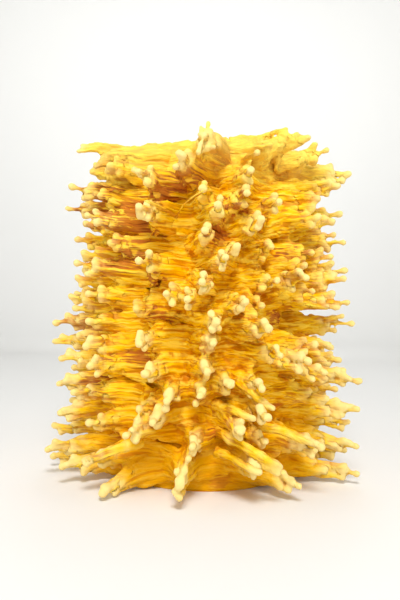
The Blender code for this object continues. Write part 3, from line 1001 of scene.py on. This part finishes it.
def layered_wall_tree():
    """Raises the wall into thin uneven layers that run round it, tears its rim and leaves its foot flat."""
    tree, given, result = new_tree(
        "layered_wall", "GeometryNodeTree",
        (("Wall", "NodeSocketGeometry", None), ("Layer Height", "NodeSocketFloat", 3.2 * MM),
         ("Layer Length", "NodeSocketFloat", 30.0 * MM), ("Relief", "NodeSocketFloat", 2.6 * MM),
         ("Tears To The Metre", "NodeSocketFloat", 120.0), ("Tear Depth", "NodeSocketFloat", 4.4 * MM),
         ("Crust", "NodeSocketMaterial", None)),
        (("Skin", "NodeSocketGeometry", None),),
    )
    place = position(tree)
    apart = add(tree, "ShaderNodeSeparateXYZ", {"Vector": place}).outputs
    round_the_wall = maths(tree, "DIVIDE", 1.0, given["Layer Length"])
    upwards = maths(tree, "DIVIDE", 1.0, given["Layer Height"])
    stretched = add(tree, "ShaderNodeCombineXYZ", {
        "X": maths(tree, "MULTIPLY", apart["X"], round_the_wall),
        "Y": maths(tree, "MULTIPLY", apart["Y"], round_the_wall),
        "Z": maths(tree, "MULTIPLY", apart["Z"], upwards),
    }).outputs[0]
    off_foot = add(tree, "ShaderNodeMapRange", {
        "Value": apart["Z"], "From Min": 0.0, "From Max": PLAIN_EDGE}).outputs[0]
    layers = maths(tree, "SUBTRACT", noise(tree, stretched, 1.0, 2.0), 0.5)
    layers = maths(tree, "MULTIPLY", maths(tree, "MULTIPLY", layers, given["Relief"]), off_foot)
    skin = add(tree, "GeometryNodeSetPosition", {
        "Geometry": given["Wall"], "Offset": scaled(tree, normal(tree), layers)}).outputs[0]
    near_rim = add(tree, "ShaderNodeMapRange", {
        "Value": apart["Z"], "From Min": TORN_EDGE[0], "From Max": TORN_EDGE[1]}).outputs[0]
    torn = noise(tree, place, given["Tears To The Metre"], 3.0)
    drop = maths(tree, "MULTIPLY", maths(tree, "SUBTRACT", torn, 0.6), given["Tear Depth"])
    drop = maths(tree, "MULTIPLY", drop, near_rim)
    skin = add(tree, "GeometryNodeSetPosition", {
        "Geometry": skin, "Offset": add(tree, "ShaderNodeCombineXYZ", {"Z": drop}).outputs[0]}).outputs[0]
    return finished(tree, skin, given, result)


# ---------------------------------------------------------------- finishes


def rgb(red, green, blue):
    """A colour given as it looks on a screen, from 0 to 255."""
    levels = np.array((red, green, blue)) / 255.0
    linear = np.where(levels <= 0.04045, levels / 12.92, ((levels + 0.055) / 1.055) ** 2.4)
    return (*linear.tolist(), 1.0)


# The base gold, deeper than GOLD, is painted shade in the valleys next to the wall.
VALLEY_SHADE_GOLD = rgb(241, 180, 0)
GOLD = rgb(246, 192, 0)
PALE_GOLD = rgb(248, 201, 24)
CREAM = rgb(244, 217, 140)
# Pale on the raised crests of the streaks: partly the batter's own colour, partly a painted highlight.
STREAK_CREAM_HIGHLIGHT = rgb(252, 216, 72)
RIM_CREAM = rgb(252, 217, 96)
# Darker amber for grooves, creases and hollows: painted shade, and in the streaks partly the batter's own
# colour.
CREVICE_SHADE = rgb(198, 117, 0)
# Deeper gold for the foot: painted shade low down near the wall.
FOOT_SHADE_GOLD = rgb(226, 150, 0)
TOAST = rgb(184, 100, 36)
# A darker toast for the grooves of toasted streaks: partly deeper toast, partly painted shade.
GROOVE_SHADED_TOAST = rgb(126, 58, 14)

SHEEN = 0.06
PALE_ROUGHNESS, TOASTED_ROUGHNESS, GRAIN_ROUGHNESS = 0.42, 0.62, 0.1
SPIKE_RELIEF, WALL_RELIEF = 2.3 * MM, 1.5 * MM
BROAD_RELIEF, FINE_RELIEF, GRAIN_RELIEF = 1.1, 0.5, 0.08  # shares of the relief above
PATCH_CELLS, GRAIN_CELLS = 60.0, 900.0  # cells of noise to the metre
PATCH_DEPTH = 1.1
TOAST_STREAKS = -2.6  # below 0, so that toast reaches further into the grooves of the streaks than onto their crests
TOAST_BEGINS, TOAST_FULL = 0.19, 0.50
# The band of painted shade at the foot: the heights and the reaches over which it grows, and its depth.
FOOT_BAND, FOOT_BAND_REACH, FOOT_BAND_DEPTH = (75.0 * MM, 5.0 * MM), (98.0 * MM, 78.0 * MM), 0.5
RIM_BAND, RIM_BAND_DEPTH = ((WALL_HEIGHT - 40.0) * MM, (WALL_HEIGHT - 2.0) * MM), 0.7
CREAM_REACH, LEAST_CREAM = (80.0 * MM, 104.0 * MM), 0.12


def mixed(tree, share, one, other):
    node = tree.nodes.new("ShaderNodeMix")
    node.data_type, node.clamp_factor = "RGBA", True
    for index, value in ((0, share), (6, one), (7, other)):
        if isinstance(value, bpy.types.NodeSocket):
            tree.links.new(value, node.inputs[index])
        else:
            node.inputs[index].default_value = value
    return node.outputs[2]


def toasted(tree, streak, patch, browned):
    """How toasted the crust is: streak by streak, and only where the strands are."""
    spread = maths(tree, "MULTIPLY", maths(tree, "SUBTRACT", patch, 0.5), PATCH_DEPTH)
    spread = maths(tree, "ADD", browned, spread)
    streaked = maths(tree, "MULTIPLY", maths(tree, "SUBTRACT", streak, 0.5), TOAST_STREAKS)
    toast = ramped(tree, maths(tree, "ADD", spread, streaked), TOAST_BEGINS, TOAST_FULL)
    return maths(tree, "MULTIPLY", toast, ramped(tree, browned, 0.05, 0.3))


def baked_batter_group():
    """The colour, roughness and relief of batter baked in strands, from the place on the cake."""
    tree, given, result = new_tree(
        "baked_batter", "ShaderNodeTree",
        (("Place", "NodeSocketVector", None), ("Tip", "NodeSocketFloat", 0.0),
         ("Browned", "NodeSocketFloat", 0.0), ("Hollow", "NodeSocketFloat", 0.0),
         ("Climb", "NodeSocketFloat", 0.0), ("Joined", "NodeSocketFloat", 0.0)),
        (("Colour", "NodeSocketColor", None), ("Roughness", "NodeSocketFloat", None),
         ("Height", "NodeSocketFloat", None)),
    )
    apart = add(tree, "ShaderNodeSeparateXYZ", {"Vector": given["Place"]}).outputs
    flat = add(tree, "ShaderNodeCombineXYZ", {"X": apart["X"], "Y": apart["Y"]}).outputs[0]
    reach = vector_maths(tree, "LENGTH", flat).outputs["Value"]
    broad = streaks(tree, given["Place"], given["Climb"], given["Joined"], BROAD_STREAKS)
    fine = streaks(tree, given["Place"], given["Climb"], given["Joined"], FINE_STREAKS)
    grain = noise(tree, given["Place"], GRAIN_CELLS, 2.0)
    toast = toasted(tree, fine, noise(tree, given["Place"], PATCH_CELLS, 2.0), given["Browned"])
    # Toast is darker in the grooves of the fine streaks: partly deeper toast, partly painted shade.
    groove_shaded_toast = maths(tree, "MULTIPLY", toast, ramped(tree, fine, 0.5, 0.3))
    # Painted shade: deeper gold low down and close to the wall, under the spikes.
    shade_near_foot = maths(tree, "MULTIPLY", ramped(tree, apart["Z"], *FOOT_BAND),
                      ramped(tree, reach, *FOOT_BAND_REACH, top=FOOT_BAND_DEPTH))
    near_rim = ramped(tree, apart["Z"], *RIM_BAND, top=RIM_BAND_DEPTH)
    creamy = maths(tree, "MULTIPLY", given["Tip"], ramped(tree, reach, *CREAM_REACH, bottom=LEAST_CREAM))

    # Each coat lies over the ones before it: how far it covers them, and its colour. The deeper gold of the
    # base, left bare near the wall, is painted shade in the valleys.
    coats = (
        (ramped(tree, reach, 62.0 * MM, 84.0 * MM), GOLD),
        (ramped(tree, reach, 84.0 * MM, 108.0 * MM, top=0.85), PALE_GOLD),
        # Streaks are paler on their raised crests and darker in their grooves: partly the batter's streaked
        # colour, partly painted highlight and painted shade.
        (ramped(tree, broad, 0.54, 0.62, top=0.75), STREAK_CREAM_HIGHLIGHT),
        (ramped(tree, broad, 0.46, 0.38, top=0.8), CREVICE_SHADE),
        (ramped(tree, fine, 0.55, 0.63, top=0.6), STREAK_CREAM_HIGHLIGHT),
        (ramped(tree, fine, 0.46, 0.37, top=0.6), CREVICE_SHADE),
        # Painted shade in the creases and hollows between strands.
        (ramped(tree, given["Hollow"], 0.12, 0.60, top=0.75), CREVICE_SHADE),
        (maths(tree, "MULTIPLY", toast, 0.85), TOAST),
        (ramped(tree, groove_shaded_toast, 0.3, 1.0, top=0.7), GROOVE_SHADED_TOAST),
        (shade_near_foot, FOOT_SHADE_GOLD),
        (near_rim, RIM_CREAM),
        (creamy, CREAM),
    )
    colour = VALLEY_SHADE_GOLD
    for cover, coat in coats:
        colour = mixed(tree, cover, colour, coat)
    rough = maths(tree, "ADD", ramped(tree, toast, 0.0, 1.0, bottom=PALE_ROUGHNESS, top=TOASTED_ROUGHNESS),
                  maths(tree, "MULTIPLY", grain, GRAIN_ROUGHNESS))
    drawn = maths(tree, "ADD", maths(tree, "MULTIPLY", broad, BROAD_RELIEF),
                  maths(tree, "MULTIPLY", fine, FINE_RELIEF))
    height = maths(tree, "MULTIPLY_ADD", drawn, maths(tree, "SUBTRACT", 1.0, given["Tip"]),
                   maths(tree, "MULTIPLY", grain, GRAIN_RELIEF))
    for label, socket in (("Colour", colour), ("Roughness", rough), ("Height", height)):
        tree.links.new(socket, result[label])
    return tree


def batter_material(name, group, values, relief):
    """A finish of baked batter, whose group reads these values off the piece's points."""
    material = bpy.data.materials.new(name)
    material.use_nodes = True
    tree = material.node_tree
    shader = tree.nodes["Principled BSDF"]
    batter = add(tree, "ShaderNodeGroup", node_tree=group)
    tree.links.new(add(tree, "ShaderNodeTexCoord").outputs["Object"], batter.inputs["Place"])
    for label in values:
        value = add(tree, "ShaderNodeAttribute", attribute_name=label).outputs["Fac"]
        tree.links.new(value, batter.inputs[label.title()])
    inputs = {"Height": batter.outputs["Height"], "Strength": 1.0, "Distance": relief}
    bump = add(tree, "ShaderNodeBump", inputs)
    tree.links.new(batter.outputs["Colour"], shader.inputs["Base Color"])
    tree.links.new(batter.outputs["Roughness"], shader.inputs["Roughness"])
    tree.links.new(bump.outputs["Normal"], shader.inputs["Normal"])
    shader.inputs["Specular IOR Level"].default_value = SHEEN
    return material


def plain_material(name, colour, roughness):
    material = bpy.data.materials.new(name)
    material.use_nodes = True
    shader = material.node_tree.nodes["Principled BSDF"]
    shader.inputs["Base Color"].default_value = colour
    shader.inputs["Roughness"].default_value = roughness
    return material


# ---------------------------------------------------------------- floor, light and camera

# Lengths in metres, as seen from the middle of the cake's foot.
FLOOR_SIDES = 96
FLOOR_MIDDLE = 0.001
FLOOR_RADIUS = 1.5
SWEEP_RADIUS = 0.7
SWEEP_POINTS = 13
BACKDROP_HEIGHT = 2.4
CAMERA_DISTANCE = 0.484
CAMERA_HEIGHT = 0.1316
CAMERA_SIDE = -0.0032
CAMERA_ROLL = math.radians(1.5)
CAMERA_LENS = 36.6
AIR_COLOUR, AIR_LIGHT = (1.0, 0.985, 0.95, 1.0), 0.30
CAKE_MIDDLE = (0.0, 0.0, 0.12)


def floor():
    """A pale floor that sweeps up into a backdrop all round."""
    bend = np.linspace(0.0, math.pi / 2, SWEEP_POINTS)
    sweep = FLOOR_RADIUS + SWEEP_RADIUS * np.sin(bend)
    radius = np.concatenate(([FLOOR_MIDDLE], sweep, [FLOOR_RADIUS + SWEEP_RADIUS]))
    height = np.concatenate(([0.0], SWEEP_RADIUS * (1.0 - np.cos(bend)), [BACKDROP_HEIGHT]))
    turn = np.arange(FLOOR_SIDES) * 2.0 * math.pi / FLOOR_SIDES
    points = [(math.cos(t) * r, math.sin(t) * r, z) for t in turn for r, z in zip(radius, height)]
    rows = len(radius)
    faces = []
    for column in range(FLOOR_SIDES):
        here, beside = column * rows, (column + 1) % FLOOR_SIDES * rows
        faces += [(here + row, here + row + 1, beside + row + 1, beside + row) for row in range(rows - 1)]
    faces.append([column * rows for column in range(FLOOR_SIDES)])
    mesh = bpy.data.meshes.new("floor")
    mesh.from_pydata(points, [], faces)
    mesh.polygons.foreach_set("use_smooth", [True] * len(mesh.polygons))
    ground = bpy.data.objects.new("floor", mesh)
    mesh.materials.append(plain_material("pale_floor", rgb(236, 236, 234), 0.8))
    bpy.context.scene.collection.objects.link(ground)


def soft_light(name, place, size, energy, aim=CAKE_MIDDLE):
    data = bpy.data.lights.new(name, "AREA")
    data.shape = "SQUARE"
    data.size, data.energy = size, energy
    light = bpy.data.objects.new(name, data)
    light.location = place
    light.rotation_euler = (Vector(aim) - Vector(place)).to_track_quat("-Z", "Y").to_euler()
    bpy.context.scene.collection.objects.link(light)


def studio():
    """Even light all round, with a key light above the front of the cake."""
    world = bpy.data.worlds.new("soft_studio")
    world.use_nodes = True
    world.node_tree.nodes["Background"].inputs["Color"].default_value = AIR_COLOUR
    world.node_tree.nodes["Background"].inputs["Strength"].default_value = AIR_LIGHT
    bpy.context.scene.world = world
    soft_light("key", (0.0, -0.75, 0.95), 0.35, 10.0)
    soft_light("front", (0.0, -1.15, 0.35), 0.6, 2.2)
    soft_light("left_side", (-1.1, -0.25, 0.3), 0.4, 2.4)
    soft_light("right_side", (1.1, -0.25, 0.3), 0.4, 1.8)
    soft_light("back", (0.1, 0.95, 0.8), 0.7, 3.0)
    soft_light("backdrop_light", (0.0, 0.9, 1.2), 1.0, 14.0, aim=(0.0, 2.2, 1.2))


def camera():
    """A level camera in front of the cake, turned a little about its own line of sight."""
    data = bpy.data.cameras.new("camera")
    data.lens = CAMERA_LENS
    data.clip_start = 0.01
    view = bpy.data.objects.new("camera", data)
    turned = Matrix.Rotation(math.radians(90), 4, "X") @ Matrix.Rotation(CAMERA_ROLL, 4, "Z")
    view.matrix_world = Matrix.Translation((CAMERA_SIDE, -CAMERA_DISTANCE, CAMERA_HEIGHT)) @ turned
    bpy.context.scene.collection.objects.link(view)
    bpy.context.scene.camera = view


# ---------------------------------------------------------------- everything


def main():
    camera()
    studio()
    floor()
    bpy.context.scene.view_settings.view_transform = "Standard"
    group = baked_batter_group()
    spike_values = ("tip", "browned", "hollow", "climb", "joined")
    spike_crust = batter_material("golden_crust", group, spike_values, SPIKE_RELIEF)
    wall_crust = batter_material("golden_wall", group, ("browned",), WALL_RELIEF)
    pieces = spike_pieces(spike_crust)
    pieces.append(fine_threads(pieces, spike_crust))
    pieces.append(made_by(layered_wall_tree(), "wall", wall_mesh(), wall_crust))
    for piece in pieces:
        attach(piece, "root")
        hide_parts("cake")


main()
